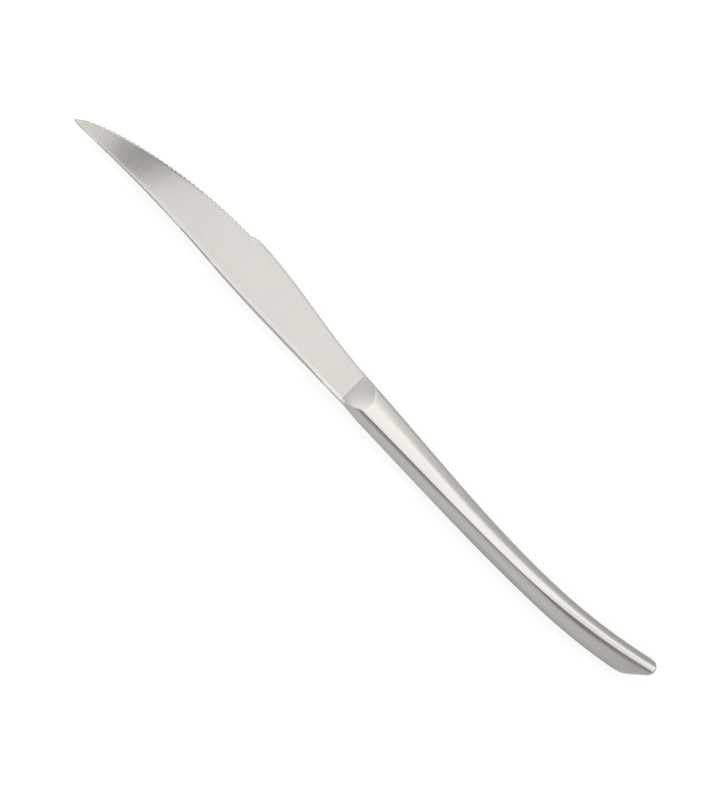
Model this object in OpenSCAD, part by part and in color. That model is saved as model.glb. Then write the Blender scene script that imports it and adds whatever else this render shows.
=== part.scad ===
// Serrated, pointed table knife with a hollow stainless handle.
// X runs from the butt to the point, Y from the cutting edge to the back, and Z is the blade's normal.
// Curves are written from the bolster line (x = 0) and a level line just above the point (y = 0),
// and placed() then centres the knife over the surface that it lies on.

/* [Blade] */
// Length of the blade, from the bolster line to the point
blade_len = 114; // [95:0.1:130]
// Height of the spine above the level line, at the bolster line
spine_rise = 6.85; // [5.5:0.05:8.5]
// Fall of the spine per mm towards the point, at the bolster line
spine_slope = 0.05; // [0.02:0.005:0.08]
// Distance from the bolster line to where the spine falls fastest
spine_bend_at = 58; // [50:1:66]
// Height of the spine above the level line there
spine_bend_y = 3.05; // [2:0.05:4]
// Fall of the spine per mm there
spine_bend_slope = 0.115; // [0.08:0.005:0.14]
// Height of the spine above the level line where it starts to round down to the point
spine_end_y = 0.32; // [0.2:0.02:0.5]
// Thickness of the spine at the bolster line
spine_t = 2; // [1.6:0.1:2.6]
// Width of the flat strip that runs along the spine and the handle's back, between their bevels
crown_t = 1.1; // [1:0.1:1.6]
// Width of that strip towards the point
crown_tip_t = 0.3; // [0.2:0.05:0.5]
// Thickness of the blade at its heel
edge_t = 0.5; // [0.4:0.05:0.8]
// Thickness of the blade at its point
tip_t = 0.8; // [0.6:0.05:1.2]
// Blunt height of the point
tip_h = 0.2; // [0.1:0.05:0.5]
// Depth of the point below the level line
tip_drop = 0.33; // [0.1:0.01:0.6]
// Length over which the spine rounds down to the point
tip_round = 1.5; // [0.8:0.1:3]
// Depth of the serrated edge below the level line, where it is deepest
edge_depth = 11.1; // [9.5:0.1:12]
// Distance from the bolster line to that deepest place
edge_low_at = 61; // [57:0.5:66]
// Depth of the heel below the level line
heel_depth = 11.4; // [10.5:0.1:13]
// Distance from the bolster line to the heel
heel_at = 48; // [44:0.5:50]
// Length of the step that drops from the heel to the first tooth
heel_step = 4; // [3:0.1:5]

/* [Teeth] */
// Distance from tooth to tooth along the edge
tooth_pitch = 1.65; // [1.3:0.05:2.2]
// Depth of the hollow between two teeth
tooth_depth = 0.38; // [0.2:0.02:0.5]
// Length of plain, straight edge left at the point
plain_tip = 4; // [2:0.5:8]

/* [Bolster] */
// Radius of the scoop that climbs from the blade to the handle
scoop_r = 40; // [30:1:60]
// Angle at which the scoop leaves the blade
scoop_angle = 22; // [20:0.5:24]
// Length of the bolster, from the bolster line to the handle shells
bolster_len = 8.5; // [7.5:0.1:11]
// Length of the plug that enters the mouth of the shells
plug_len = 5; // [3:0.5:8]

/* [Handle] */
// Length of the handle, from the bolster line to the butt
handle_len = 121.7; // [105:0.1:135]
// Thickness of the handle at the bolster line
handle_t_front = 8.4; // [7.6:0.1:9.4]
// Thickness of the handle towards the butt
handle_t_rear = 9.6; // [8.4:0.1:11]
// Length over which the handle grows to that thickness
handle_grow_len = 61; // [40:1:90]
// Rise of the back over the bolster, from the spine to the handle's own line
back_shoulder = 0.4; // [0.2:0.05:0.6]
// Rise of the handle's back per mm towards the butt, at the bolster
back_slope = 0.052; // [0.03:0.002:0.08]
// Rise of the back from the bolster line to its highest place
back_rise = 4.4; // [3:0.1:6]
// Distance from the bolster line to that highest place
back_peak_at = 84; // [76:1:92]
// Fall of the back from its highest place to the butt, before the end is cut
back_fall = 3.6; // [2.5:0.1:4.5]
// Depth of the belly below the level line, at the bolster line
belly_drop = 4; // [3:0.1:5]
// Rise of the belly per mm towards the butt, at the bolster line
belly_slope = 0.088; // [0.06:0.002:0.12]
// Rise of the belly from the bolster line to its highest place
belly_rise = 6.75; // [5.5:0.05:8]
// Distance from the bolster line to that highest place
belly_peak_at = 83; // [76:1:90]
// Fall of the belly from its highest place to the butt
belly_fall = 4; // [3:0.1:5.5]
// Share of the handle's height from the back to the ridge, at the bolster line
ridge_share_front = 0.29; // [0.22:0.01:0.34]
// Share of the handle's height from the back to the ridge, at the butt
ridge_share_rear = 0.66; // [0.54:0.01:0.7]
// Share of a side's depth, below the ridge, that stays flat
side_flat = 0.58; // [0.5:0.01:0.64]
// Share of the thickness that the slope under that flat takes off, before the side rolls under to the belly
side_slope = 0.35; // [0.2:0.01:0.45]
// Tightness of that roll: 2 is an ellipse
side_roll = 5; // [2:0.5:6]
// Angle of the slanting end of the butt, from the knife's length
butt_angle = 42; // [37:1:46]
// Softness of the corner where that end leaves the back
butt_corner = 1; // [0.5:0.1:1.5]
// Height of the blunt nose between that end and the belly's round corner
nose_h = 0.7; // [0.4:0.1:1.2]
// Radius of that corner, seen from the side
nose_r = 3.3; // [2.4:0.1:3.6]
// Radius of the nose seen from above
plan_r = 2; // [1:0.1:3]

/* [Inside] */
// Wall of the pressed handle shells
wall = 0.8; // [0.6:0.05:1]
// Gap between plug and shells, filled with solder
solder_gap = 0.15; // [0.1:0.01:0.25]
// Width of the tang
tang_w = 5; // [4:0.1:5.5]
// Thickness of the tang
tang_t = 2.6; // [2:0.1:3]
// Length of the tang behind the plug
tang_len = 34; // [24:1:40]
// Radius of the notches that key the tang into the cement
notch_r = 0.9; // [0.6:0.05:1]
// Length of the cement behind the end of the tang
cement_past_tang = 3; // [2:0.5:6]
// Height of the brazing bead along the back seam
bead_h = 0.4; // [0.3:0.05:0.5]

/* [Hidden] */
$fn = 48;

// Small lengths that only keep one solid's parts overlapping
bite = 1.5;
sink = 0.4;

// Plain curve helpers
function hermite(t, y0, y1, m0, m1, len) =
    let (t2 = t * t, t3 = t2 * t)
    (2 * t3 - 3 * t2 + 1) * y0 + (t3 - 2 * t2 + t) * len * m0
    + (3 * t2 - 2 * t3) * y1 + (t3 - t2) * len * m1;
function soft_min(a, b, k) = (a + b - sqrt((a - b) * (a - b) + k * k)) / 2;
function ramp(t) = let (c = min(max(t, 0), 1)) c * c * (3 - 2 * c);
function mix(a, b, t) = a + (b - a) * t;
function steps(a, b, n) = [for (i = [0 : n]) mix(a, b, i / n)];
function round_off(d, r) = let (g = max(r - d, 0)) r - sqrt(max(r * r - g * g, 0));

// Blade outline
heel_slope = 0.08;
edge_power = 0.78;
edge_end = blade_len - plain_tip;
edge_start = heel_at + heel_step;
function spine_run(x) =
    let (rest = blade_len - spine_bend_at)
    x < spine_bend_at
        ? hermite(x / spine_bend_at, spine_rise, spine_bend_y, -spine_slope, -spine_bend_slope, spine_bend_at)
        : hermite((x - spine_bend_at) / rest, spine_bend_y, spine_end_y, -spine_bend_slope, 0, rest);
function spine_y(x) =
    spine_run(x) - (spine_end_y + tip_drop - tip_h / 2) * round_off(blade_len - x, tip_round) / tip_round;
function heel_y(x) =
    hermite(x / heel_at, -belly_drop, -heel_depth, -belly_slope, -heel_slope, heel_at);
tip_low = tip_drop + tip_h / 2;
function edge_y(x) =
    let (t = (min(x, edge_end) - edge_low_at) / (blade_len - edge_low_at))
    let (curve = -tip_low - (edge_depth - tip_low) * pow(1 - t * t, edge_power))
    mix(curve, -tip_low, max(x - edge_end, 0) / plain_tip);
probe = 0.05;
function edge_dir(x) =
    let (chord = [2 * probe, edge_y(x + probe) - edge_y(x - probe)])
    chord / norm(chord);

// Tooth tips, stepped along the edge by the pitch, then the hollows between them
function tooth_xs(x) = x > edge_end ? [x] : concat([x], tooth_xs(x + tooth_pitch * edge_dir(x)[0]));
tooth_x = tooth_xs(edge_start);
hollow_steps = 4;
function hollow_point(xa, xb, t) =
    let (x = mix(xa, xb, t), dir = edge_dir(x), cut = tooth_depth * 4 * t * (1 - t))
    [x - dir[1] * cut, edge_y(x) + dir[0] * cut];
edge_points = [
    for (i = [0 : len(tooth_x) - 2], j = [0 : hollow_steps - 1])
        hollow_point(tooth_x[i], tooth_x[i + 1], j / hollow_steps)
];
last_tooth = tooth_x[len(tooth_x) - 1];
spine_steps = 28;
tip_steps = 6;
heel_steps = 14;
plain_points = [for (x = [last_tooth, blade_len]) [x, edge_y(x)]];
spine_xs = concat(
    [for (i = [0 : tip_steps - 1]) blade_len - tip_round * (i / tip_steps) * (i / tip_steps)],
    steps(blade_len - tip_round, 0, spine_steps)
);
spine_points = [for (x = spine_xs) [x, spine_y(x)]];
heel_points = [for (x = steps(0, heel_at, heel_steps)) [x, heel_y(x)]];
heel_nose = [heel_at + heel_step / 2, -heel_depth];

// Blade faces: one plane a side, through the thicknesses at bolster line, heel and point
face_det = blade_len * (spine_rise + heel_depth) - heel_at * spine_rise;
face_ky = (heel_at * (tip_t - spine_t) - blade_len * (edge_t - spine_t)) / 2 / face_det;
face_kx = ((tip_t - spine_t) / 2 + face_ky * spine_rise) / blade_len;
face_n = [-face_kx, -face_ky, 1] / norm([face_kx, face_ky, 1]);
face_x = [1, 0, face_kx] / norm([1, face_kx]);
face_y = cross(face_n, face_x);

// Handle outline in side view, for x at or behind the bolster line
function back_uncut(x) =
    let (d = -x, past = (d - back_peak_at) / (handle_len - back_peak_at), top = spine_rise + back_rise)
    d < back_peak_at
        ? hermite(d / back_peak_at, spine_rise + back_shoulder, top, back_slope, 0, back_peak_at)
            - back_shoulder * (1 - ramp(d / bolster_len))
        : top - back_fall * past * past;
function belly_uncut(x) =
    let (d = -x, past = (d - belly_peak_at) / (handle_len - belly_peak_at), top = belly_rise - belly_drop)
    d < belly_peak_at
        ? hermite(d / belly_peak_at, -belly_drop, top, belly_slope, 0, belly_peak_at)
        : top - belly_fall * past * past;
butt_y = belly_uncut(-handle_len) + nose_r + nose_h;
function from_butt(x) = x + handle_len;
function butt_cut(x) = butt_y + from_butt(x) * tan(butt_angle);
function back_y(x) = x > 0 ? spine_y(x) : soft_min(back_uncut(x), butt_cut(x), butt_corner);
function belly_y(x) = x > 0 ? heel_y(x) : belly_uncut(x) + round_off(from_butt(x), nose_r);

// Uncut form: the ridge between the flat back facet and the round side, and that side's half thickness
function along(x) = min(max(-x / handle_len, 0), 1);
function uncut_back(x) = x > 0 ? spine_y(x) : back_uncut(x);
function uncut_ridge(x) =
    let (b = uncut_back(x), e = x > 0 ? heel_y(x) : belly_uncut(x))
    b - mix(ridge_share_front, ridge_share_rear, along(x)) * (b - e);
function ridge_z(x) =
    mix(handle_t_front, handle_t_rear, ramp(-x / handle_grow_len)) / 2 - round_off(from_butt(x), plan_r);
function half_width(x, y) =
    let (r = uncut_ridge(x), z = ridge_z(x), crown = min(crown_t / 2, z / 2), b = uncut_back(x))
    y > r ? mix(z, crown, (y - r) / (b - r)) : z * side_form(depth_share(x, y));

// Form of a side by the share of its depth: a flat, a soft bend, and a slope that rolls under to the belly
side_bend = 0.1;
function depth_share(x, y) = max(uncut_ridge(x) - y, 0) / (uncut_ridge(x) - belly_y(x));
function past_flat(s) = (s - side_flat + norm([s - side_flat, side_bend])) / 2;
function side_form(s) =
    let (t = min((past_flat(s) - past_flat(0)) / (past_flat(1) - past_flat(0)), 1))
    1 - side_slope * t - (1 - side_slope) * (1 - pow(1 - pow(t, side_roll), 1 / side_roll));

// Half section of the handle at x, from the back down the +Z side to the belly, moved inwards by inset.
// Where the butt's end cuts the ridge away, the facet's place is taken by the top of the round side,
// and where the wall is too thick for the strip along the back, the facets meet below it.
facet_steps = 3;
side_steps = 12;
last = 1 + facet_steps + side_steps;
least_facet = 0.08;
least_strip = 0.05;
function section(x, inset) =
    let (
        y_top = back_y(x),
        y_ridge = min(uncut_ridge(x), mix(y_top, belly_y(x), least_facet)),
        top = [y_top, half_width(x, y_top)],
        ridge = [y_ridge, half_width(x, y_ridge)],
        facet_n = [ridge[1] - top[1], top[0] - ridge[0]] / norm(ridge - top),
        corner = top - inset * (facet_n + [1, 0]) / (1 + facet_n[0]),
        r = ridge - inset * (facet_n + [0, 1]) / (1 + facet_n[1]),
        t = mix(corner, r, max(least_strip - corner[1], 0) / (r[1] - corner[1])),
        low = belly_y(x) + inset,
        start = depth_share(x, y_ridge),
        full = r[1] / side_form(start)
    )
    concat(
        [[t[0], 0]],
        [for (i = [0 : facet_steps - 1]) mix(t, r, i / facet_steps)],
        [for (i = [0 : side_steps]) let (down = sin(90 * i / side_steps))
            [mix(r[0], low, down), i == side_steps ? 0 : full * side_form(mix(start, 1, down))]]
    );
function half_ring(x, inset) = [for (p = section(x, inset)) [x, p[0], p[1]]];
function whole_ring(half) =
    concat(half, [for (k = [len(half) - 2 : -1 : 1]) [half[k][0], half[k][1], -half[k][2]]]);

// Stations along the handle: the outside closes up towards the butt,
// the inside has one at each place where a filling ends
joint_x = -bolster_len;
plug_end = joint_x - plug_len;
tang_end = plug_end - tang_len;
cement_end = tang_end - cement_past_tang;
cavity_end = -handle_len + nose_r + wall;
cement_steps = 12;
hollow_run_steps = 26;
stations = 1 + cement_steps + hollow_run_steps;
outer_x = [for (i = [0 : stations]) joint_x - (handle_len - bolster_len) * sin(90 * i / stations)];
inner_x = concat(
    [joint_x],
    steps(plug_end, cement_end, cement_steps),
    [for (i = [1 : hollow_run_steps]) mix(cement_end, cavity_end, i / hollow_run_steps)]
);

// Faces of a tube of rings that all have n points, open or closed round, wound outwards.
// On a closed ring the second half of the points is the first half's mirror image, and so are its faces.
function tube_faces(rings, n, first, closed) = [
    for (i = [0 : rings - 2], k = [0 : n - (closed ? 1 : 2)], half = [0, 1])
        let (a = first + i * n + k, b = first + i * n + (k + 1) % n, left = closed && k >= floor(n / 2))
        left
            ? (half == 0 ? [a, b, a + n] : [b, b + n, a + n])
            : (half == 0 ? [a, b, b + n] : [a, b + n, a + n])
];
function flipped(faces) = [for (f = faces) [f[2], f[1], f[0]]];
function fan(ids) = [for (i = [1 : len(ids) - 2]) [ids[0], ids[i], ids[i + 1]]];
function span(a, b) = [for (i = [a : b]) i];

// A solid between rings, its ends closed round their centres
module lofted(rings) {
    n = len(rings[0]);
    m = len(rings);
    mid = [for (ring = [rings[0], rings[m - 1]]) [for (p = ring) 1] * ring / n];
    ends = [
        for (k = [0 : n - 1]) [n * m, (k + 1) % n, k],
        for (k = [0 : n - 1]) [n * m + 1, n * (m - 1) + k, n * (m - 1) + (k + 1) % n]
    ];
    points = concat([for (ring = rings) each ring], mid);
    polyhedron(points, concat(tube_faces(m, n, 0, true), ends));
}

// The knife lies on its handle, centred on the origin
low_z = max([for (x = outer_x) ridge_z(x)]);
high_y = max([for (x = outer_x) back_y(x)]);
module placed() {
    translate([(handle_len - blade_len) / 2, (heel_depth - high_y) / 2, low_z]) children();
}

// A blade face as the XY plane, seen from outside the blade
module on_face(right) {
    mirror([0, 0, right ? 0 : 1])
        multmatrix([
            [face_x[0], face_y[0], face_n[0], 0],
            [face_x[1], face_y[1], face_n[1], spine_rise],
            [face_x[2], face_y[2], face_n[2], spine_t / 2]
        ]) children();
}

// Bevel along the spine, which carries the handle's back facet on towards the point, as a wedge to cut away
facet_rise = (handle_t_front - crown_t) / 2 / (ridge_share_front * (spine_rise + belly_drop));
function bevel_ring(x) =
    let (y = spine_run(x), reach = spine_t, climb = reach * facet_rise)
    let (z = mix(crown_t, crown_tip_t, ramp(x / spine_bend_at)) / 2)
    [[x, y + reach, z - climb], [x, y + reach, z + climb], [x, y - reach, z + climb]];
module spine_bevel() {
    lofted([for (x = steps(blade_len + bite, -bite, spine_steps)) bevel_ring(x)]);
}

// Flat blade: serrated outline, ground down on both faces, with its root inside the bolster
module flat_blade() {
    root = [
        [-bite, back_y(-bite) - sink],
        [-bolster_len + bite, back_y(-bolster_len) - 3 * sink],
        [-bolster_len + bite, belly_y(-bolster_len) + 3 * sink],
        [-bite, belly_y(-bite) + sink]
    ];
    outline = concat(spine_points, root, heel_points, [heel_nose], edge_points, plain_points);
    reach = blade_len + bolster_len;
    difference() {
        linear_extrude(2 * spine_t, center = true) polygon(outline);
        for (right = [true, false])
            on_face(right) translate([-bolster_len, -reach / 2, 0]) cube([2 * reach, reach, 2 * spine_t]);
        spine_bevel();
        mirror([0, 0, 1]) spine_bevel();
    }
}

// Bolster: the front of the handle's own form, scooped out on both sides down to the blade
module bolster() {
    xs = [bite, 0, -bolster_len / 3, -2 * bolster_len / 3, joint_x];
    difference() {
        lofted([for (x = xs) whole_ring(half_ring(x, x > 0 ? sink : 0))]);
        for (right = [true, false])
            on_face(right)
                translate([scoop_r * sin(scoop_angle), 0, scoop_r * cos(scoop_angle)])
                    rotate([90, 0, 0]) cylinder(r = scoop_r, h = 4 * spine_rise, center = true);
    }
}

// Plug that carries the handle, a solder gap smaller than the mouth of the shells
function plug_ring(x) = whole_ring(half_ring(x, wall + solder_gap));
module plug() {
    lofted([for (x = [joint_x + bite, joint_x, plug_end]) plug_ring(x)]);
}

// Tang: a flat bar along the middle of the handle, notched on both edges
function middle_y(x) = (back_y(x) + belly_y(x)) / 2;
tang_turn = atan2(middle_y(plug_end) - middle_y(tang_end), tang_len);
notches = 3;
module tang() {
    run = tang_len / cos(tang_turn);
    translate([tang_end, middle_y(tang_end), 0])
        rotate([0, 0, tang_turn])
            difference() {
                translate([0, -tang_w / 2, -tang_t / 2]) cube([run + bite, tang_w, tang_t]);
                for (i = [1 : notches], side = [-1, 1])
                    translate([run * i / (notches + 1), side * tang_w / 2, 0])
                        cylinder(r = notch_r, h = 2 * tang_t, center = true);
            }
}

module blade() {
    color("lightgray") placed() union() {
        flat_blade();
        bolster();
        plug();
        tang();
    }
}

// Half of the hollow handle on the +Z side: outside, inside, seam faces, mouth and closed butt
module handle_half() {
    n = last + 1;
    rings = stations + 1;
    inner = n * rings;
    outer_points = [for (x = outer_x) each half_ring(x, 0)];
    inner_points = [for (x = inner_x) each half_ring(x, wall)];
    seams = [
        for (i = [0 : stations - 1], half = [0, 1]) let (a = i * n, b = a + n)
            half == 0 ? [a, b, inner + b] : [a, inner + b, inner + a],
        for (i = [0 : stations - 1], half = [0, 1]) let (a = i * n + last, b = a + n)
            half == 0 ? [b, a, inner + b] : [inner + b, a, inner + a]
    ];
    mouth = [
        for (k = [0 : last - 1], half = [0, 1])
            half == 0 ? [k, inner + k, inner + k + 1] : [k, inner + k + 1, k + 1]
    ];
    e = stations * n;
    butt = [
        each fan(span(e, e + last)),
        each flipped(fan(span(inner + e, inner + e + last))),
        [e, e + last, inner + e + last],
        [e, inner + e + last, inner + e]
    ];
    skin = tube_faces(rings, n, 0, false);
    lining = flipped(tube_faces(rings, n, inner, false));
    polyhedron(concat(outer_points, inner_points), concat(skin, lining, seams, mouth, butt));
}

module right_handle_shell() {
    color("gainsboro") placed() handle_half();
}

module left_handle_shell() {
    color("gainsboro") placed() mirror([0, 0, 1]) handle_half();
}

// Brazing beads inside the seam: one on the back's flat strip, one pooled in the belly
pool_steps = 3;
function inside(x) = half_ring(x, wall);
bead_half = inside(plug_end)[1][2];
function back_bead(x) =
    let (c = inside(x)[1], w = min(c[2], bead_half), y = c[1], low = y - bead_h)
    [[x, low, -w / 2], [x, y, -w], [x, y, w], [x, low, w / 2]];
function belly_bead(x) =
    let (ring = inside(x), side = [for (k = [last - pool_steps : last]) ring[k]])
    concat(side, [for (k = [pool_steps - 1 : -1 : 0]) [x, side[k][1], -side[k][2]]]);
module seam_braze() {
    xs = [for (i = [1 : stations]) inner_x[i]];
    color("khaki") placed() {
        lofted([for (x = xs) back_bead(x)]);
        lofted([for (x = xs) belly_bead(x)]);
    }
}

// Solder film between the plug and the mouth of the shells
module bolster_solder() {
    outer = [for (x = [joint_x, plug_end]) each whole_ring(inside(x))];
    inner = [for (x = [joint_x, plug_end]) each plug_ring(x)];
    n = 2 * last;
    ends = [
        for (k = [0 : n - 1], end = [0, 1], half = [0, 1])
            let (a = end * n + k, b = end * n + (k + 1) % n, c = 2 * n)
            let (f = half == 0 ? [a, c + a, c + b] : [a, c + b, b])
            end == 0 ? f : [f[2], f[1], f[0]]
    ];
    faces = concat(tube_faces(2, n, 0, true), flipped(tube_faces(2, n, 2 * n, true)), ends);
    color("silver") placed() polyhedron(concat(outer, inner), faces);
}

// Cement cast round the tang, between the two beads
function cement_ring(x) =
    let (ring = inside(x), c = ring[1], crown = [x, c[1] - bead_h, c[2] / 2])
    let (half = concat([crown], [for (k = [1 : last - pool_steps]) ring[k]]))
    concat(half, [for (k = [len(half) - 1 : -1 : 0]) [x, half[k][1], -half[k][2]]]);
module tang_cement() {
    color("lightgoldenrodyellow") placed() difference() {
        lofted([for (i = [1 : 1 + cement_steps]) cement_ring(inner_x[i])]);
        tang();
    }
}

blade();
right_handle_shell();
left_handle_shell();
seam_braze();
bolster_solder();
tang_cement();
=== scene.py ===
# %% [markdown]
# This lesson dresses a table knife. The knife arrives from CAD as six solids that already lie in
# their places: a forged blade, two pressed handle shells, and the braze, solder and cement that hold
# them together. The blade and the shells are modelled again in finer detail, and the three hidden
# joints only get a finish.

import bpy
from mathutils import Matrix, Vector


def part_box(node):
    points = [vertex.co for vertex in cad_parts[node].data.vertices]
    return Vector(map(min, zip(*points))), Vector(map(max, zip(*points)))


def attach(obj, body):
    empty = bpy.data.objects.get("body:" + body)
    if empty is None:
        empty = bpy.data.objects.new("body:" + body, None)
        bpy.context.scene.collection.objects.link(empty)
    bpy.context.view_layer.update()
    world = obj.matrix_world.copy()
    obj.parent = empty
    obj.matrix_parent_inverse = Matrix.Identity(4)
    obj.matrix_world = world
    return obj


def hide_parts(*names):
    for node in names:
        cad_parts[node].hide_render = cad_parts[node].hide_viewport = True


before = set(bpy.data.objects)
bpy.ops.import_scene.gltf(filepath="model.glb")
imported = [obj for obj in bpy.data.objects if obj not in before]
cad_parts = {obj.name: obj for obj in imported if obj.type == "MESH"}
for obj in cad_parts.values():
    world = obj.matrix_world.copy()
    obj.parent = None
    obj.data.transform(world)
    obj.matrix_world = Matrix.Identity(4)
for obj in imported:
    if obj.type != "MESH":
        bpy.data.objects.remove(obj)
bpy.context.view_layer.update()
print("nodes:", sorted(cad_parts))

# %% [markdown]
# The knife's own zero point is on the bolster line, where the blade meets the handle, in the plane
# between the two handle halves. The work could stay in the frame's metres, but from here, in
# millimetres, every number is one that a cutler would know. The boxes of the solids say where that
# point is in the frame, and each finished mesh is moved there at the end.

# %% Zero point on the bolster line
import math

import bmesh
import bpy
from mathutils import Vector

MM = 0.001
blade_len, heel_depth = 114, 11.4
blade_low, blade_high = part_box("blade")
shell_low, shell_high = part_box("right_handle_shell")
seam_z = shell_low.z
zero = Vector((blade_high.x - blade_len * MM, blade_low.y + heel_depth * MM, seam_z))
handle_len = (zero.x - shell_low.x) / MM
joint_x = (shell_high.x - zero.x) / MM
print("zero point", [round(c / MM, 3) for c in zero])
print("handle", round(handle_len, 2), "mm long, joint at", round(joint_x, 2), "mm")

# %% [markdown]
# A knife's outline is a handful of long, easy curves. Most of them are Hermite curves here, each set
# by its two end points and the slope at each, because that is how the line would be drawn on paper. A
# Bezier curve object would do too, but a formula can be asked for its height at any place along the
# knife, which the lofting below needs.

# %% Curve helpers
def mix(a, b, t):
    return a + (b - a) * t


def ramp(t):
    """0 up to 0 and 1 from 1 on, eased between."""
    t = min(max(t, 0.0), 1.0)
    return t * t * (3 - 2 * t)


def hermite(t, y0, y1, m0, m1, length):
    t2, t3 = t * t, t * t * t
    ends = (2 * t3 - 3 * t2 + 1) * y0 + (3 * t2 - 2 * t3) * y1
    return ends + ((t3 - 2 * t2 + t) * m0 + (t3 - t2) * m1) * length


def soft_min(a, b, k):
    return (a + b - math.hypot(a - b, k)) / 2


def round_off(d, r):
    """What a corner of radius r takes off at d from its end."""
    return r - math.sqrt(max(r * r - max(r - d, 0) ** 2, 0))


def hinge(t, soft):
    """Nothing up to 0 and t beyond it, with a soft bend between."""
    return (t + math.hypot(t, soft)) / 2


def steps(a, b, n):
    return [mix(a, b, i / n) for i in range(n + 1)]


print("a ramp in quarters:", [round(ramp(t), 2) for t in steps(0, 1, 4)])

# %% [markdown]
# The blade's back dips gently to the point. Below it runs a plain heel, then a small step, and then
# the curved cutting edge with its fine scalloped teeth. A row of cylinders could be cut from the edge
# with a Boolean, but that leaves ragged faces. So the teeth are part of the outline, stepped off
# along the edge by their pitch, as a grinding wheel would cut them, and they stay even where the edge
# climbs to the point.

# %% Outline of the blade
spine_rise, spine_bend_at, spine_bend_y, spine_end_y = 6.85, 58, 3.05, 0.32
heel_at, heel_step, belly_drop = 48, 4, 4
edge_depth, edge_low_at, edge_power = 11.1, 61, 0.735
tip_drop, tip_h, tip_round = 0.33, 0.2, 3.2
tooth_pitch, tooth_depth, plain_tip = 1.65, 0.38, 4
spine_slope, spine_bend_slope, heel_slope, belly_slope = 0.05, 0.115, 0.08, 0.088


def spine_y(x):
    if x < spine_bend_at:
        t = x / spine_bend_at
        return hermite(t, spine_rise, spine_bend_y, -spine_slope, -spine_bend_slope, spine_bend_at)
    rest = blade_len - spine_bend_at
    run = hermite((x - spine_bend_at) / rest, spine_bend_y, spine_end_y, -spine_bend_slope, 0, rest)
    return run - (spine_end_y + tip_drop - tip_h / 2) * round_off(blade_len - x, tip_round) / tip_round


def edge_y(x):
    low, straight_from = tip_drop + tip_h / 2, blade_len - plain_tip
    t = (min(x, straight_from) - edge_low_at) / (blade_len - edge_low_at)
    curve = -low - (edge_depth - low) * (1 - t * t) ** edge_power
    return mix(curve, -low, max(x - straight_from, 0) / plain_tip)


def edge_run(x):
    """Share of a step along the edge that goes along the knife."""
    probe = 0.05
    return 2 * probe / math.hypot(2 * probe, edge_y(x + probe) - edge_y(x - probe))


tooth_tips = [heel_at + heel_step]
while tooth_tips[-1] < blade_len - plain_tip:
    tooth_tips.append(tooth_tips[-1] + tooth_pitch * edge_run(tooth_tips[-1]))
print(len(tooth_tips) - 1, "teeth, the last at", round(tooth_tips[-1], 1), "mm")


def hollow(x):
    """Depth of the scallop between two tooth tips."""
    after = next((i for i, tip in enumerate(tooth_tips) if tip > x), 0)
    if after == 0:
        return 0.0
    t = (x - tooth_tips[after - 1]) / (tooth_tips[after] - tooth_tips[after - 1])
    return tooth_depth * 4 * t * (1 - t) / edge_run(x)


def lower_y(x):
    step_at = heel_at + heel_step / 2
    if x < heel_at:
        return hermite(x / heel_at, -belly_drop, -heel_depth, -belly_slope, -heel_slope, heel_at)
    if x < step_at:
        return -heel_depth
    if x < tooth_tips[0]:
        return mix(-heel_depth, edge_y(tooth_tips[0]), (x - step_at) / (tooth_tips[0] - step_at))
    return edge_y(x) + hollow(x)


# %% [markdown]
# The handle carries the blade's lines on. Its back climbs and falls in one long bow, its belly
# follows, and a slanting cut takes off the end, so that a blunt nose is left. A Bevel modifier could
# round those corners later. Here a soft minimum joins the bow to the cut and quarter circles round
# the nose, so that every cross section has its true height from the start.

# %% Outline of the handle
back_shoulder, back_slope, back_rise, back_peak_at, back_fall = 0.4, 0.052, 4.4, 84, 3.6
belly_rise, belly_peak_at, belly_fall = 6.75, 83, 4
butt_angle, butt_corner, nose_h, nose_r, nose_corner = math.radians(42), 1, 1.7, 2.5, 1.2


def bow_y(x):
    d, top = -x, spine_rise + back_rise
    if d < back_peak_at:
        climb = hermite(d / back_peak_at, spine_rise + back_shoulder, top, back_slope, 0, back_peak_at)
        return climb - back_shoulder * (1 - ramp(x / joint_x))
    return top - back_fall * ((d - back_peak_at) / (handle_len - back_peak_at)) ** 2


def belly_bow_y(x):
    d, top = -x, belly_rise - belly_drop
    if d < belly_peak_at:
        return hermite(d / belly_peak_at, -belly_drop, top, belly_slope, 0, belly_peak_at)
    return top - belly_fall * ((d - belly_peak_at) / (handle_len - belly_peak_at)) ** 2


def back_y(x):
    if x > 0:
        return spine_y(x)
    from_butt = x + handle_len
    cut = belly_bow_y(-handle_len) + nose_r + nose_h + from_butt * math.tan(butt_angle)
    return soft_min(bow_y(x), cut, butt_corner) - round_off(from_butt, nose_corner)


def belly_y(x):
    return lower_y(x) if x > 0 else belly_bow_y(x) + round_off(x + handle_len, nose_r)


print("back and belly at the joint:", round(back_y(joint_x), 2), round(belly_y(joint_x), 2))

# %% [markdown]
# A crisp ridge runs down each side of the handle. It parts a slanted facet, towards the back, from a
# broad side, and it wanders from near the back at the bolster to near the belly at the butt, which
# gives the handle its twisting look. It could be a curve object, but two formulas are enough: how far
# the ridge lies below the back, and how far it stands out from the middle plane.

# %% Ridge of the handle
handle_t_front, handle_t_rear, handle_grow_len, plan_r = 8.4, 9.6, 61, 0.8
ridge_share_front, ridge_share_rear = 0.277, 0.655


def along(x):
    """Share of the handle's length that lies between the bolster line and x."""
    return min(max(-x / handle_len, 0), 1)


def bow_and_belly(x):
    return (spine_y(x), lower_y(x)) if x > 0 else (bow_y(x), belly_bow_y(x))


def facet_h(x):
    b, e = bow_and_belly(x)
    front = ridge_share_front * (spine_rise + belly_drop)
    return front if x > 0 else mix(ridge_share_front, ridge_share_rear, along(x)) * (b - e)


def ridge_y(x):
    return bow_and_belly(x)[0] - facet_h(x)


def ridge_z(x):
    grown = mix(handle_t_front, handle_t_rear, ramp(-x / handle_grow_len)) / 2
    return grown - round_off(x + handle_len, plan_r)


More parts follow.
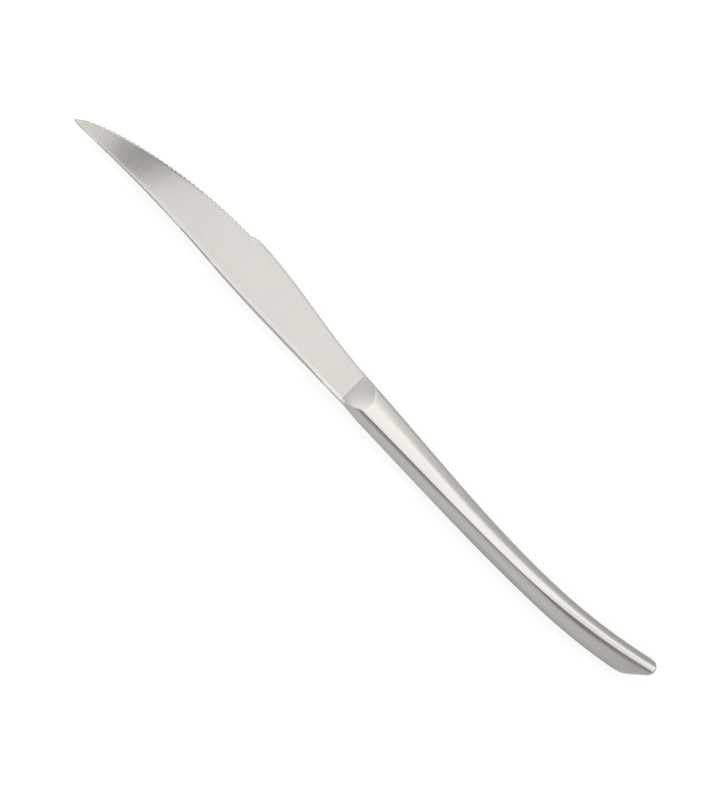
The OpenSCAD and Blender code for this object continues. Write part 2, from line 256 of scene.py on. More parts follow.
half_way = -handle_len / 2
print("half way, the ridge is", round(facet_h(half_way), 2), "mm below the back and stands",
      round(ridge_z(half_way), 2), "mm out")

# %% [markdown]
# The facet falls from the ridge to a narrow flat strip along the back, and is gentler beside the
# ridge. On the blade it gives way to a plain bevel. It could be two planes with a bevel between them,
# but a hinge formula gives both slopes and the soft bend in one, and its values can change from the
# bolster to the butt. A stretch says where such a change starts and how long it takes, as shares of
# the handle's length.

# %% Slanted facet
strip_slope_front, strip_slope_rear, strip_w, strip_soft = 0.6, 0.72, 1.3, 0.3
crown_half, crown_tip_half, crown_run = 0.55, 0.15, 25
spine_bevel, bevel_run = 0.9, 15
mid_stretch = (0.25, 0.2)


def through(x, stretch):
    """How far x is through a stretch of the handle: 0 before it and 1 after it."""
    start, run = stretch
    return ramp((along(x) - start) / run)


def bend_share(d, at, end, soft):
    """Share of a bend's whole fall that is reached at d: none up to the bend, then a straight run."""
    start = hinge(-at, soft)
    return (hinge(d - at, soft) - start) / (hinge(end - at, soft) - start)


def facet_z(x, d, crown):
    """Height of the facet at d from the ridge: a gentler strip, then straight to the crown."""
    z, h = ridge_z(x), facet_h(x)
    strip_slope = mix(strip_slope_front, strip_slope_rear, through(x, mid_stretch))
    return z - strip_slope * d - (z - crown - strip_slope * h) * bend_share(d, strip_w, h, strip_soft)


def back_z(x, y):
    """Height between the ridge and the back."""
    ridge = ridge_y(x)
    crown = min(mix(crown_half, crown_tip_half, ramp(x / crown_run)), ridge_z(x) / 2)
    bevel = crown + spine_bevel * (ridge + facet_h(x) - y)
    return mix(facet_z(x, y - ridge, crown), bevel, ramp(x / bevel_run))


print("back is", round(2 * back_z(half_way, bow_y(half_way)), 2), "mm thick half way")

# %% [markdown]
# The broad side leans away from the ridge, then bends, and at last rolls under to the belly. The lean
# is only a few degrees, but it matters as much as the outline, because it decides which part of the
# room the steel mirrors. A subdivision surface could be pulled into this form. A formula for the
# height keeps the lean exact, and the shells and the bolster can both be built from it.

# %% Broad side
side_flat_front, side_flat_rear, side_bend_front, side_bend_rear = 0.67, 0.58, 0.3, 0.1
side_slope_front, side_slope_rear, side_roll = 0.3, 0.22, 10
lean_front, lean_mid, lean_rear, lean_late, most_lean = 6.5, 9.5, 5.5, 0.75, 0.5
side_stretch, slope_stretch = (0, 0.3), (0.4, 0.4)
rear_stretch, late_stretch = (0.6, 0.25), (0.65, 0.15)
nose_soften, least_depth = 0.7, 1e-6


def side_form(x, s):
    """Height at a share s of the side's depth: level, a soft bend, then a slope that rolls under."""
    to_rear = through(x, side_stretch)
    flat = mix(side_flat_front, side_flat_rear, to_rear)
    bend = mix(side_bend_front, side_bend_rear, to_rear)
    slope = mix(side_slope_front, side_slope_rear, through(x, slope_stretch))
    t = min(bend_share(s, flat, 1, bend), 1)
    return 1 - slope * t - (1 - slope) * (1 - (1 - t ** side_roll) ** (1 / side_roll))


def lean_of(x):
    """Slope of the side away from the ridge, greatest half way along the handle."""
    to_mid, to_rear = through(x, mid_stretch), through(x, rear_stretch)
    return math.tan(math.radians(mix(mix(lean_front, lean_mid, to_mid), lean_rear, to_rear)))


def eased(d, r):
    """Share of the full height at d from an edge that is rounded by r."""
    return math.sqrt(max(1 - (1 - d / r) ** 2, 0)) if d < r else 1


def side_z(x, y):
    """Height between the ridge and the belly; late on, the lean starts slowly and then grows."""
    z, ridge, belly, low = ridge_z(x), ridge_y(x), bow_and_belly(x)[1], belly_y(x)
    deep = max(ridge - belly, least_depth)
    s = min((ridge - y) / deep, 1)
    late = lean_late * through(x, late_stretch)
    lean = min(lean_of(x) * deep / z, most_lean) * (s * (1 - late) + late * s * s / lean_late)
    return z * side_form(x, s) * (1 - lean) * eased(max(y - low, 0), min(nose_soften, low - belly))


def surface_z(x, y):
    return back_z(x, y) if y > ridge_y(x) else side_z(x, y)


print("handle is", round(2 * surface_z(half_way, ridge_y(half_way)), 2), "mm thick half way")

# %% [markdown]
# One cross section is a row of points from the back, over the ridge, to the belly. The corners at the
# back and at the ridge get small fillets, because a satin edge always catches a line of light. The
# bevel operator could round them on the finished mesh, but these fillets grow along the handle, and
# every section has to keep the same number of points for the lofting below. Each fillet may take only
# a share of what is there.

# %% Outside of a cross section
fillet_steps, facet_steps, crest_steps, side_steps, belly_crowding = 6, 22, 4, 36, 3
least_facet, most_facet = 0.08, 0.75
crown_fillet, crown_fillet_blade, crown_roll_front, crown_roll_rear = 0.44, 0.12, 0.5, 1.4
crest_fillet_front, crest_fillet_rear = 0.3, 1.2
crown_most, roll_most, crest_most = 0.8, 0.4, 0.3
roll_stretch, fillet_run = (0.2, 0.4), 8


def fillet(a, corner, b, n):
    return [a.lerp(corner, t).lerp(corner.lerp(b, t), t) for t in steps(0, 1, n)]


def side_share(t):
    """Share of the side's depth at a share t of its points, which crowd towards the belly."""
    return 1 - (1 - t) ** belly_crowding


def outer_section(x):
    y_top, y_low = back_y(x), belly_y(x)
    y_crest = max(min(ridge_y(x), mix(y_top, y_low, least_facet)), mix(y_top, y_low, most_facet))

    def on(y):
        return Vector((y, surface_z(x, y)))

    top, crest = on(y_top), on(y_crest)
    cut = mix(crown_fillet, crown_fillet_blade, ramp(x / fillet_run + 1))
    cut = min(cut, top.y * crown_most, (y_top - y_crest) * roll_most)
    roll = mix(crown_roll_front, crown_roll_rear, through(x, roll_stretch)) * ramp(-x / fillet_run)
    roll = min(max(roll, cut), (y_top - y_crest) * roll_most)
    worn = mix(crest_fillet_front, crest_fillet_rear, through(x, rear_stretch))
    ease = min(worn, (y_top - y_crest) * crest_most, (y_crest - y_low) * crest_most)
    first, last = on(y_top - roll), on(y_crest + ease)
    points = [Vector((y_top, 0))]
    points += fillet(Vector((y_top, top.y - cut)), top, first, fillet_steps)
    points += [on(y) for y in steps(first.x, last.x, facet_steps)[1:-1]]
    points += fillet(last, crest, on(y_crest - ease), crest_steps)
    points += [on(mix(y_crest - ease, y_low, side_share(t))) for t in steps(0, 1, side_steps)[1:-1]]
    return points + [Vector((y_low, 0))]


print(len(outer_section(half_way)), "points in a cross section")

# %% [markdown]
# The inside of the pressed wall follows the outside at the thickness of the sheet. Solidify would
# move every point along its normal, and in the tight corners they would cross. So only the corners at
# the back and the ridge are moved in, and the rest is laid between them, with as many points as the
# outside has.

# %% Inside of a cross section
wall, least_corner = 0.8, 0.05


def inner_section(x, inset):
    y_top, y_low = back_y(x), belly_y(x)
    y_crest = min(ridge_y(x), mix(y_top, y_low, least_facet))
    top, crest = Vector((y_top, surface_z(x, y_top))), Vector((y_crest, surface_z(x, y_crest)))
    run = (crest - top).normalized()
    lean = Vector((run.y, -run.x))
    corner = top - inset * (lean + Vector((1, 0))) / (1 + lean.x)
    ridge = crest - inset * (lean + Vector((0, 1))) / (1 + lean.y)
    corner = corner.lerp(ridge, max(least_corner - corner.y, 0) / (ridge.y - corner.y))
    low = y_low + inset
    points = [Vector((corner.x, 0))] + [corner] * (fillet_steps + 1)
    points += [corner.lerp(ridge, t) for t in steps(0, 1, facet_steps)[1:-1]]
    points += [ridge] * (crest_steps + 1)
    for t in steps(0, 1, side_steps)[1:-1]:
        s = side_share(t)
        outside = surface_z(x, mix(y_crest, y_low, s))
        points.append(Vector((mix(ridge.x, low, s), outside * ridge.y / crest.y)))
    return points + [Vector((low, 0))]


print(len(inner_section(half_way, wall)), "points inside")

# %% [markdown]
# A loft is a sheet of quads whose lines are laid on the cross sections. Blender makes the flat sheet
# with one operator, create_grid, and the loop below only carries each of its vertices to its place.
# Bridging the sections two by two would also do, but the grid keeps the quads in order, so smooth
# shading runs along the knife without pinching. Edges that turn by more than the crisp angle stay
# sharp.

# %% Laying a sheet of quads on cross sections
crisp_angle, weld_dist = math.radians(32), 2e-7


def loft(rings):
    bm = bmesh.new()
    rows, columns = len(rings) - 1, len(rings[0]) - 1
    bmesh.ops.create_grid(bm, x_segments=rows, y_segments=columns, size=0.5)
    for v in bm.verts:
        i, j = round((v.co.x + 0.5) * rows), round((v.co.y + 0.5) * columns)
        v.co = rings[i][j]
    return bm


def close_up(bm):
    """Merges what meets, caps open ends and turns every face outwards."""
    bmesh.ops.remove_doubles(bm, verts=bm.verts, dist=weld_dist)
    open_edges = [e for e in bm.edges if e.is_boundary]
    bmesh.ops.holes_fill(bm, edges=open_edges, sides=0)
    bmesh.ops.recalc_face_normals(bm, faces=bm.faces)
    for e in bm.edges:
        e.smooth = e.calc_face_angle(0) < crisp_angle


def finish_piece(bm, name, material):
    for f in bm.faces:
        f.smooth = True
    mesh = bpy.data.meshes.new(name)
    bm.to_mesh(mesh)
    bad = [e for e in bm.edges if not e.is_manifold]
    print(name, len(mesh.vertices), "vertices,", len(mesh.polygons), "faces,", len(bad), "open edges,",
          round(bm.calc_volume() / MM ** 3, 1), "mm3")
    bm.free()
    mesh.materials.append(material)
    piece = bpy.data.objects.new(name, mesh)
    bpy.context.scene.collection.objects.link(piece)
    return piece


# %% [markdown]
# Satin steel is a mirror with fine scratches that all run one way. A picture of scratches could be
# wrapped round the knife, but a noise needs no picture and no unwrapping. Stretched along the
# direction of polishing, it varies the roughness, tints the grey a little and lifts a slight bump.
# Object coordinates carry the noise, so it stays put on the metal from every side. Where the vertices
# bear a darkening value, the steel's colour is darker. On the handle that is painted shade for the
# darker room that its rolled edges mirror. Along the blade's teeth it is partly a duller ground finish
# and partly painted shade for the dark line that the edge mirrors.

# %% Satin steel
def node(tree, kind, **sockets):
    made = tree.nodes.new(kind)
    for name, value in sockets.items():
        made.inputs[name.replace("_", " ")].default_value = value
    return made


def satin_steel(name, grain, dark, light, smooth, rough, bump, grind_and_shade_tint):
    """grain is how many streaks a metre holds along x, y and z."""
    material = bpy.data.materials.new(name)
    material.use_nodes = True
    tree = material.node_tree
    shader = tree.nodes["Principled BSDF"]
    shader.inputs["Metallic"].default_value = 1.0
    shader.inputs["Specular Tint"].default_value = (0.5, 0.5, 0.5, 1)
    place = tree.nodes.new("ShaderNodeTexCoord")
    drawn = node(tree, "ShaderNodeMapping", Scale=grain)
    tree.links.new(place.outputs["Object"], drawn.inputs["Vector"])
    streaks = node(tree, "ShaderNodeTexNoise", Scale=1.0, Detail=4.0, Roughness=0.6)
    tree.links.new(drawn.outputs["Vector"], streaks.inputs["Vector"])
    wear = node(tree, "ShaderNodeTexNoise", Scale=70.0, Detail=3.0)
    tree.links.new(place.outputs["Object"], wear.inputs["Vector"])
    both = node(tree, "ShaderNodeMix", Factor=0.3)
    tree.links.new(streaks.outputs["Fac"], both.inputs["A"])
    tree.links.new(wear.outputs["Fac"], both.inputs["B"])
    tint = tree.nodes.new("ShaderNodeValToRGB")
    tint.color_ramp.elements[0].position, tint.color_ramp.elements[1].position = 0.3, 0.7
    tint.color_ramp.elements[0].color, tint.color_ramp.elements[1].color = (*dark, 1), (*light, 1)
    tree.links.new(both.outputs["Result"], tint.inputs["Fac"])
    # The vertex value darkens the colour: painted shade along the edges, which on the teeth is partly a
    # duller ground finish too.
    edge = tree.nodes.new("ShaderNodeAttribute")
    edge.attribute_name = "ground_and_shaded_edge"
    shade = node(tree, "ShaderNodeMapRange", To_Min=1.0, To_Max=grind_and_shade_tint)
    tree.links.new(edge.outputs["Fac"], shade.inputs["Value"])
    toned = tree.nodes.new("ShaderNodeVectorMath")
    toned.operation = "SCALE"
    tree.links.new(tint.outputs["Color"], toned.inputs[0])
    tree.links.new(shade.outputs["Result"], toned.inputs["Scale"])
    tree.links.new(toned.outputs["Vector"], shader.inputs["Base Color"])
    gloss = node(tree, "ShaderNodeMapRange", From_Min=0.3, From_Max=0.7, To_Min=smooth, To_Max=rough)
    tree.links.new(both.outputs["Result"], gloss.inputs["Value"])
    tree.links.new(gloss.outputs["Result"], shader.inputs["Roughness"])
    lift = node(tree, "ShaderNodeBump", Strength=bump, Distance=0.00002)
    tree.links.new(streaks.outputs["Fac"], lift.inputs["Height"])
    tree.links.new(lift.outputs["Normal"], shader.inputs["Normal"])
    return material


steel_dark, steel_light = (0.437, 0.43, 0.417), (0.477, 0.47, 0.457)
handle_steel = satin_steel("handle_satin", (60, 3500, 3500), steel_dark, steel_light,
                           smooth=0.22, rough=0.28, bump=0.06, grind_and_shade_tint=0.7)
blade_steel = satin_steel("blade_satin", (3500, 120, 120), steel_dark, steel_light,
                          smooth=0.22, rough=0.26, bump=0.02, grind_and_shade_tint=0.76)
print("steels:", handle_steel.name, blade_steel.name)

# %% [markdown]
# The blade, bolster, plug and tang are one forging. Its flat faces taper from the bolster to the
# point and from the back to the edge. Behind the bolster line a scoop climbs from each face to the
# full handle form. Along the knife it follows a round cutter; across the knife it is hollow, and
# higher towards the back. A Boolean with a cylinder could cut a plain scoop, but not this one, so it
# is a formula for the height too.

# %% Ground faces and the scoop of the bolster
spine_half, edge_half, tip_half = 1.0, 0.25, 0.4
scoop_r, scoop_angle = 40, math.radians(24)
scoop_level, scoop_skew, scoop_hollow, scoop_curl = 0.7, 0.3, 0.28, 0.04
tall = spine_rise + heel_depth
det = blade_len * tall - heel_at * spine_rise
lean_y = (heel_at * (tip_half - spine_half) - blade_len * (edge_half - spine_half)) / det
lean_x = (tip_half - spine_half + lean_y * spine_rise) / blade_len
print("face leans", round(lean_x, 5), "along and", round(lean_y, 5), "across")


def ground_z(x, y):
    face = spine_half + lean_x * x + lean_y * (y - spine_rise)
    if x >= 0:
        return face
    reach = scoop_r * math.sin(scoop_angle) - x
    rise = scoop_r * math.cos(scoop_angle) - math.sqrt(max(scoop_r ** 2 - reach ** 2, 0))
    off_middle = (2 * y - spine_rise + belly_drop) / (spine_rise + belly_drop)
    across = scoop_skew + (scoop_hollow + scoop_curl * off_middle) * off_middle
    return face + rise * (scoop_level + across * off_middle)


# %% [markdown]
# The forging's surface is whichever lies lower, the handle's form or the ground face. A Boolean would
# leave a hard line where they meet, so a smooth minimum rounds it, as polishing does. Along the back,
# a narrow shoulder of the face leans over to the facet. Behind the teeth the face ends in a thin
# bevel, which fades in along the heel's step, and the lower edge is rounded, most at the bolster.

# %% Surface of the forging
blend_power = 40
shoulder_w, shoulder_w_tip, shoulder_w_rear = 1.1, 0.5, 1.6
shoulder_slope, shoulder_slope_rear, shoulder_slope_scoop, shoulder_soft = 0.1, 0.12, 0.2, 0.3
shoulder_rear_run, shoulder_tip_from, shoulder_tip_run = 12, 70, 25
scoop_front_run, shoulder_end_run = 1, 4
bevel_w, bevel_half, soften_r, bolster_soften = 0.7, 0.08, 0.2, 0.6
soften_from, soften_run, thin_from, thin_run = -6.5, 4, -1.5, 3
facet_slope = (handle_t_front / 2 - crown_half) / facet_h(0)


def shoulder_fall(x, y, above_face):
    """What the shoulder takes off the face, given how far the handle's form lies above the face."""
    to_bolster = ramp(1 - x / shoulder_rear_run)
    to_tip = ramp((x - shoulder_tip_from) / shoulder_tip_run)
    shoulder = mix(mix(shoulder_w, shoulder_w_tip, to_tip), shoulder_w_rear, to_bolster)
    on_blade = mix(shoulder_slope, shoulder_slope_rear, to_bolster)
    slope = mix(on_blade, shoulder_slope_scoop, ramp(-x / scoop_front_run))
    slope *= ramp(x / shoulder_end_run + 1)
    by_back = ramp((y - ridge_y(x)) / shoulder + 1)
    return by_back * slope * hinge(shoulder - above_face / facet_slope, shoulder_soft)


def forged_z(x, y, handle_form):
    if handle_form <= 0:
        return 0.0
    ground = ground_z(x, y)
    ground -= shoulder_fall(x, y, handle_form - ground)
    z = (handle_form ** -blend_power + ground ** -blend_power) ** (-1 / blend_power)
    above = y - belly_y(x)
    if x > heel_at:
        over_edge = max(above if x < tooth_tips[0] else y - edge_y(x), 0)
        bevelled = min(z, mix(bevel_half, z, min(over_edge / bevel_w, 1)))
        z = mix(z, bevelled, ramp((x - heel_at) / heel_step))
    on_bolster = bolster_soften * ramp((x - soften_from) / soften_run)
    return z * eased(above, mix(on_bolster, soften_r, ramp((x - thin_from) / thin_run)))


def forged_ring(x):
    return [Vector((x, p.x, forged_z(x, p.x, p.y))) * MM for p in outer_section(x)]


print("blade is", round(2 * max(p.z for p in forged_ring(0)) / MM, 2), "mm thick at the bolster line")

# %% [markdown]
# Inside the handle the forging goes on as a plug that fills the mouth of the shells, and then as a
# flat tang with round notches that key it into the cement. Nobody sees them, but an exported part is
# looked at in pieces, so the forging is whole. The tang could be a block with holes cut in it, but
# its cross sections have as many points as the others, only narrower at a notch, and so the one sheet
# carries on.

# %% Plug and notched tang
solder_gap, plug_len = 0.15, 5
tang_half_w, tang_half_t, tang_len, notch_r, notches = 2.5, 1.3, 34, 0.9, 3
plug_end = joint_x - plug_len
tang_end = plug_end - tang_len


def middle_y(x):
    return (back_y(x) + belly_y(x)) / 2


def plug_ring(x):
    return [Vector((x, p.x, p.y)) * MM for p in inner_section(x, wall + solder_gap)]


def tang_ring(x):
    from_notch = min(abs(x - mix(tang_end, plug_end, k / (notches + 1))) for k in range(1, notches + 1))
    half = tang_half_w - math.sqrt(max(notch_r ** 2 - from_notch ** 2, 0))
    centre = mix(middle_y(tang_end), middle_y(plug_end), (x - tang_end) / tang_len)
    count = len(outer_section(x))
    ys = [centre + half] + steps(centre + half, centre - half, count - 3) + [centre - half]
    zs = [0] + [tang_half_t] * (count - 2) + [0]
    return [Vector((x, y, z)) * MM for y, z in zip(ys, zs)]


print("plug ends at", round(plug_end, 2), "mm and the tang at", round(tang_end, 2), "mm")

# %% [markdown]
# Cross sections could be cut at even steps, but they are closer together where the form changes
# quickly: along the scoop, at the heel's step and six to a tooth. The sheet makes the right side of
# the forging, and Blender's mirror operator adds the left one and welds the two in the middle plane.

# %% Forge the blade
tang_steps, scoop_steps, front_steps, face_steps = 68, 76, 12, 34
heel_steps, tooth_steps, tip_steps = 12, 6, 10
front_len, grind_and_shade_w = 2, 1.3
blade_stations = steps(joint_x, 0, scoop_steps) + steps(0, front_len, front_steps)[1:]
blade_stations += steps(front_len, heel_at, face_steps)[1:]
blade_stations += steps(heel_at, tooth_tips[0], heel_steps)[1:]
for near, far in zip(tooth_tips, tooth_tips[1:]):
    blade_stations += steps(near, far, tooth_steps)[1:]
blade_stations += steps(tooth_tips[-1], blade_len, tip_steps)[1:]

forging_rings = [tang_ring(x) for x in steps(tang_end, plug_end, tang_steps)]
forging_rings += [plug_ring(x) for x in (plug_end, joint_x)]
forging_rings += [forged_ring(x) for x in blade_stations]
forging = loft(forging_rings)
# Along the teeth the colour is darkened: partly a duller ground finish, partly painted shade for the
# dark line that the edge mirrors.
teeth_grind_and_shade = forging.verts.layers.float.new("ground_and_shaded_edge")
for v in forging.verts:
    x, y = v.co.x / MM, v.co.y / MM
    if x > 0:
        toothed = ramp((blade_len - x) / plain_tip)
        v[teeth_grind_and_shade] = toothed * max(1 - (y - lower_y(min(x, blade_len))) / grind_and_shade_w, 0) ** 2
bmesh.ops.mirror(forging, geom=forging.verts[:] + forging.edges[:] + forging.faces[:],
                 merge_dist=weld_dist, axis="Z")
close_up(forging)
bmesh.ops.translate(forging, verts=forging.verts, vec=zero)
blade = finish_piece(forging, "forged_blade", blade_steel)
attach(blade, "root")
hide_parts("blade")

# %% [markdown]
# The handle is two pressed shells. Lofting only the outside would leave a sheet without thickness, so
# each ring here goes down the outside and back up the inside, like the cut edge of a gutter. A
# Solidify modifier could thicken a sheet too, but it would follow the nose into its tight corners,
# and the cavity has to end before them. The last ring is drawn in to the middle plane, which closes
# the butt, and close_up caps the mouth.

# %% Rings of a shell
cut_len, nose_len = 14, 3
bow_steps, cut_steps, nose_steps = 84, 56, 22
cut_from, nose_from = cut_len - handle_len, nose_len - handle_len
cavity_end = nose_r + wall - handle_len
shell_stations = steps(joint_x, cut_from, bow_steps) + steps(cut_from, nose_from, cut_steps)[1:]
shell_stations += [nose_len * (1 - t) ** 2 - handle_len for t in steps(0, 1, nose_steps)[1:]]


def inner_station(x):
    return max(x, mix(cut_from, cavity_end, (cut_from - x) / (handle_len + cut_from)))


def shell_ring(x):
    outside = [Vector((x, p.x, p.y)) * MM for p in outer_section(x)]
    deep = inner_station(x)
    inside = [Vector((deep, p.x, p.y)) * MM for p in inner_section(deep, wall)]
    return outside + inside[::-1] + outside[:1]


def gathered(ring):
    """The last ring drawn in: its outside to one point of the middle plane, its inside to another."""
    half = (len(ring) - 1) // 2
    out_mid, in_mid = (ring[0] + ring[half - 1]) / 2, (ring[half] + ring[2 * half - 1]) / 2
    return [out_mid] * half + [in_mid] * half + [out_mid]


print(len(shell_stations), "rings in a shell")

# %% [markdown]
# The two shells are alike, so one function presses both, and the left one is scaled by -1 across the
# middle plane; its faces are turned outwards again afterwards. Their seams are ground flush along the
# back and the belly. Beside them the steel's colour is darkened: painted shade, which stands for the
# darker room that the rolled back edge and the belly mirror. A value on the vertices lays it along
# the edges by itself.

# %% Press the handle shells
# Widths and strengths of the painted shade along the back and the belly.
back_shade_w, belly_shade_w, back_shade_front, belly_shade = 1.8, 1.2, 0.2, 0.5
back_stretch, belly_stretch = (0.25, 0.3), (0.5, 0.3)
butt_clear, butt_run = 6, 4


def painted_edge_shade(x, y):
    """Painted shade: up to 1 on the back's seam, fading beside it and short of the butt, and less on
    the belly's.
    """
    on_back = mix(back_shade_front, 1, through(x, back_stretch))
    on_back *= ramp((x + handle_len - butt_clear) / butt_run)
    on_belly = belly_shade * through(x, belly_stretch)
    from_back, from_belly = max(back_y(x) - y, 0), max(y - belly_y(x), 0)
    return max(on_back * (1 - from_back / back_shade_w), on_belly * (1 - from_belly / belly_shade_w), 0)


def pressed_shell(name, side):
    rings = [shell_ring(x) for x in shell_stations]
    bm = loft(rings + [gathered(rings[-1])])
    # The vertex value is painted shade along the rolled back edge and the belly.
    ground = bm.verts.layers.float.new("ground_and_shaded_edge")
    for v in bm.verts:
        v[ground] = painted_edge_shade(v.co.x / MM, v.co.y / MM)
    bmesh.ops.scale(bm, vec=(1, 1, side), verts=bm.verts)
    close_up(bm)
    bmesh.ops.translate(bm, verts=bm.verts, vec=zero)
    piece = finish_piece(bm, name, handle_steel)
    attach(piece, "root")
    return piece


right_shell = pressed_shell("right_shell", 1)
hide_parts("right_handle_shell")
left_shell = pressed_shell("left_shell", -1)
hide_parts("left_handle_shell")

# %% [markdown]
# The braze, the solder and the cement stay as CAD made them, shut up inside the handle. Plain colours
# would do there, but the parts are also looked at one by one, so each gets a finish of its own: a
# brassy flowed bead, a dull grey film and a pale, grainy filling. All three are the same small recipe
# of a mottled colour with a fine bump.

# %% Finishes of the hidden joints
def cast_finish(name, dark, light, metallic, rough, grain):
    material = bpy.data.materials.new(name)
    material.use_nodes = True
    tree = material.node_tree
    shader = tree.nodes["Principled BSDF"]
    shader.inputs["Metallic"].default_value = metallic
    shader.inputs["Roughness"].default_value = rough
    place = tree.nodes.new("ShaderNodeTexCoord")
    mottle = node(tree, "ShaderNodeTexNoise", Scale=grain, Detail=5.0)
    tree.links.new(place.outputs["Object"], mottle.inputs["Vector"])
    tint = tree.nodes.new("ShaderNodeValToRGB")
    tint.color_ramp.elements[0].color, tint.color_ramp.elements[1].color = (*dark, 1), (*light, 1)
    tree.links.new(mottle.outputs["Fac"], tint.inputs["Fac"])
    tree.links.new(tint.outputs["Color"], shader.inputs["Base Color"])
    lift = node(tree, "ShaderNodeBump", Strength=0.3, Distance=0.0001)
    tree.links.new(mottle.outputs["Fac"], lift.inputs["Height"])
    tree.links.new(lift.outputs["Normal"], shader.inputs["Normal"])
    return material


hidden_finishes = {
    "seam_braze": cast_finish("flowed_braze", (0.5, 0.36, 0.14), (0.7, 0.55, 0.28),
                              metallic=1.0, rough=0.38, grain=900),
    "bolster_solder": cast_finish("dull_solder", (0.3, 0.3, 0.31), (0.45, 0.45, 0.46),
                                  metallic=1.0, rough=0.5, grain=1200),
    "tang_cement": cast_finish("cast_cement", (0.5, 0.45, 0.34), (0.64, 0.6, 0.48),
                               metallic=0.0, rough=0.9, grain=1500),
}
for name, material in hidden_finishes.items():
    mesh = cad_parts[name].data
    mesh.materials.clear()
    mesh.materials.append(material)
print("finished the hidden", ", ".join(hidden_finishes))

# %% [markdown]
# The knife lies on a plain white table. A table that is only lit would turn grey at its edges, so for
# the camera, and for the steel that mirrors it, part of its white comes from a soft glow and the rest
# from the light on it. The second part still carries the knife's shadow.

# %% White table
table_half, table_lit, table_glow, table_plain = 6, 0.2, 0.8, 0.8
floor_bm = bmesh.new()
bmesh.ops.create_grid(floor_bm, x_segments=1, y_segments=1, size=table_half)
floor_mesh = bpy.data.meshes.new("table_top")
floor_bm.to_mesh(floor_mesh)
floor_bm.free()
floor = bpy.data.objects.new("table_top", floor_mesh)
bpy.context.scene.collection.objects.link(floor)

table_white = bpy.data.materials.new("table_white")
table_white.use_nodes = True
tree = table_white.node_tree
tree.nodes.remove(tree.nodes["Principled BSDF"])
lit = node(tree, "ShaderNodeBsdfDiffuse", Color=(table_lit, table_lit, table_lit, 1))
plain = node(tree, "ShaderNodeBsdfDiffuse", Color=(table_plain, table_plain, table_plain, 1))
glow = node(tree, "ShaderNodeEmission", Strength=table_glow)
shown = tree.nodes.new("ShaderNodeAddShader")
tree.links.new(lit.outputs[0], shown.inputs[0])
tree.links.new(glow.outputs[0], shown.inputs[1])
path = tree.nodes.new("ShaderNodeLightPath")
seen = tree.nodes.new("ShaderNodeMath")
seen.operation = "MAXIMUM"
tree.links.new(path.outputs["Is Camera Ray"], seen.inputs[0])
either = tree.nodes.new("ShaderNodeMath")
either.operation = "MAXIMUM"
tree.links.new(path.outputs["Is Glossy Ray"], either.inputs[0])
tree.links.new(path.outputs["Is Transmission Ray"], either.inputs[1])
tree.links.new(either.outputs[0], seen.inputs[1])
choose = tree.nodes.new("ShaderNodeMixShader")
tree.links.new(seen.outputs[0], choose.inputs["Fac"])
tree.links.new(plain.outputs[0], choose.inputs[1])
tree.links.new(shown.outputs[0], choose.inputs[2])
tree.links.new(choose.outputs[0], tree.nodes["Material Output"].inputs["Surface"])
floor_mesh.materials.append(table_white)
print("table", floor.dimensions[:])

# %% [markdown]
# Steel has no colour of its own worth the name: it shows the room. So the room is the light here, a
# soft tent whose brightness changes with direction. Area lamps could do it, but each would show in
# the steel as a patch with edges. The tent is bright in two bands overhead, has a dark gap between
# the second one and the table behind the knife's back, which draws the dark line along the ridge, and
# is paler again near the table. Directions along the knife have bands of their own, which the scoop
# and the butt mirror.

# %% Bands of the light tent
world = bpy.data.worlds.new("light_tent")
bpy.context.scene.world = world
world.use_nodes = True
tree = world.node_tree
look = tree.nodes.new("ShaderNodeTexCoord")
parts = tree.nodes.new("ShaderNodeSeparateXYZ")
tree.links.new(look.outputs["Generated"], parts.inputs[0])
tent_peak = 2.4
overhead = [(-90, 0.66), (-80, 0.79), (-72, 0.94), (-56, 1.16), (-42, 1.33), (-32, 1.62), (-24, 2.24),
            (-14, 2.16), (-5, 1.47), (3, 1.5), (9, 2.3), (17, 2.1), (25, 0.6), (32, 0.16), (55, 0.16),
            (61, 0.45), (66, 0.68), (70, 0.88), (74, 0.98), (82, 1.04), (90, 1.05)]
ahead = [(-90, 0.5), (-60, 0.75), (-41, 1.3), (-31, 1.95), (-26, 1.75), (-19, 1.45), (-14, 1.36),
         (-9, 1.25), (-6, 1.18), (-4, 1.05), (-2, 0.95), (6, 0.93), (10, 1.1), (14, 1.8), (19, 1.9),
         (27, 0.9), (40, 0.5), (60, 0.75), (70, 0.95), (90, 1.02)]


def bands(stops):
    """Brightness by the angle, in degrees, that a direction leans to the back (+) or the edge (-)."""
    spread = node(tree, "ShaderNodeMapRange", From_Min=-1.0, From_Max=1.0)
    tree.links.new(parts.outputs["Y"], spread.inputs["Value"])
    curve = tree.nodes.new("ShaderNodeValToRGB")
    curve.color_ramp.interpolation = "EASE"
    elements = curve.color_ramp.elements
    while len(elements) < len(stops):
        elements.new(0.5)
    for element, (angle, level) in zip(elements, stops):
        element.position = (math.sin(math.radians(angle)) + 1) / 2
        element.color = (level / tent_peak,) * 3 + (1,)
    tree.links.new(spread.outputs["Result"], curve.inputs["Fac"])
    return curve.outputs["Color"]


print("tent has", len(overhead), "stops overhead and", len(ahead), "ahead")

# %% [markdown]
# Now the two sets of bands are joined. A hard change from one to the other would show in the steel as
# a line, so they are mixed by how far a direction points along the knife. A slightly warm white gives
# the steel its tone.

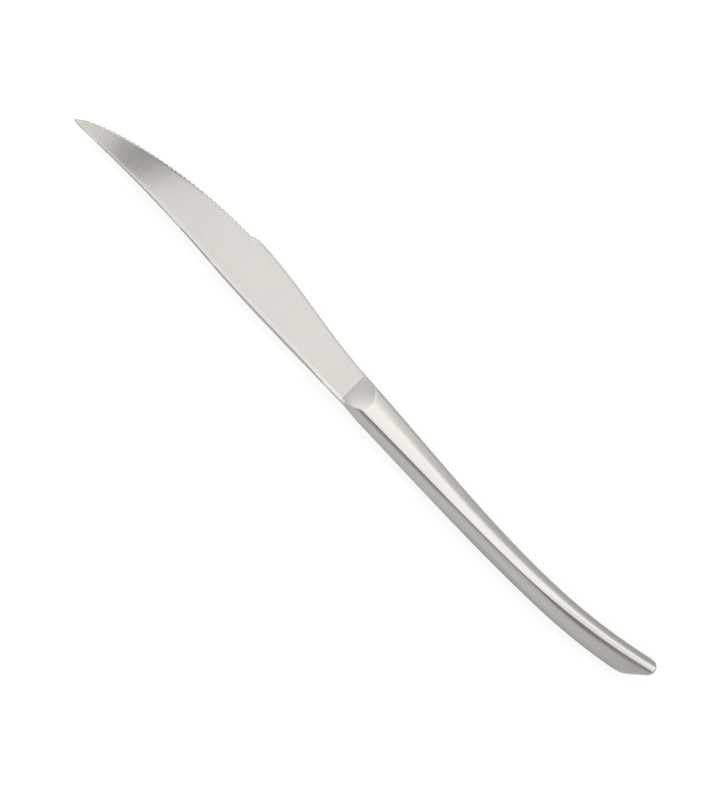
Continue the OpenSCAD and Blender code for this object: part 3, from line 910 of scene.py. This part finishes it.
# %% Hang the tent
ahead_from, ahead_to = 0.05, 0.45
tent_white = (1.0, 0.985, 0.955, 1)
lengthwise = tree.nodes.new("ShaderNodeMath")
lengthwise.operation = "ABSOLUTE"
tree.links.new(parts.outputs["X"], lengthwise.inputs[0])
forward = node(tree, "ShaderNodeMapRange", From_Min=ahead_from, From_Max=ahead_to)
tree.links.new(lengthwise.outputs[0], forward.inputs["Value"])
both = tree.nodes.new("ShaderNodeMix")
tree.links.new(forward.outputs["Result"], both.inputs["Factor"])
tree.links.new(bands(overhead), both.inputs["A"])
tree.links.new(bands(ahead), both.inputs["B"])
level = tree.nodes.new("ShaderNodeMath")
level.operation = "MULTIPLY"
level.inputs[1].default_value = tent_peak
tree.links.new(both.outputs["Result"], level.inputs[0])
sky = tree.nodes["Background"]
sky.inputs["Color"].default_value = tent_white
tree.links.new(level.outputs[0], sky.inputs["Strength"])
print("hung", world.name, "of", len(tree.nodes), "nodes")

# %% [markdown]
# Photographers shape a reflection with a card. A grey one over the front of the blade gives the soft
# dark bar near the point. A dark band in the tent could do that too, but it would cross the whole
# knife. The card hangs between the knife and the camera, so it is hidden from the camera, and from
# the light on the table. It slopes so that the bolster's scoop, which looks forward along the knife,
# meets it edge on and doesn't mirror it.

# %% Grey card
card_low, card_slope, card_grey = 8, 0.66, 0.28
card_corners = [(79, -40), (115.2, -40), (108, 6), (113.2, 6)]
card_bm = bmesh.new()
bmesh.ops.create_grid(card_bm, x_segments=1, y_segments=1, size=0.5)
for v, (x, y) in zip(sorted(card_bm.verts, key=lambda v: (v.co.y, v.co.x)), card_corners):
    v.co = Vector((x, y, card_low + card_slope * x)) * MM
card_mesh = bpy.data.meshes.new("grey_card")
card_bm.to_mesh(card_mesh)
card_bm.free()
card = bpy.data.objects.new("grey_card", card_mesh)
bpy.context.scene.collection.objects.link(card)
card.visible_camera = card.visible_diffuse = card.visible_shadow = False
felt_grey = bpy.data.materials.new("grey_felt")
felt_grey.use_nodes = True
tree = felt_grey.node_tree
felt = node(tree, "ShaderNodeEmission", Color=(card_grey, card_grey, card_grey, 1))
tree.links.new(felt.outputs[0], tree.nodes["Material Output"].inputs["Surface"])
card_mesh.materials.append(felt_grey)
print("card", [round(c / MM) for c in card.dimensions], "mm")

# %% [markdown]
# The photograph looks straight down at the knife's side. An orthographic camera would show that
# outline exactly, but a long lens from further away comes very close and still looks natural from
# other sides. The camera is turned so that the point lies at the upper left.

# %% Camera
frame_h_mm, sensor, lens = 235.8, 36, 120
aim_x, aim_y, camera_turn = -0.00107, 0.00173, math.radians(223.2)
cam_data = bpy.data.cameras.new("camera")
cam_data.sensor_width = sensor
cam_data.lens = lens
camera = bpy.data.objects.new("camera", cam_data)
bpy.context.scene.collection.objects.link(camera)
distance = frame_h_mm * MM * lens / sensor
camera.location = (aim_x, aim_y, seam_z + distance)
camera.rotation_euler = (0, 0, camera_turn)
bpy.context.scene.camera = camera
bpy.context.scene.view_settings.view_transform = "Standard"
print("camera", round(distance, 3), "m above the knife")
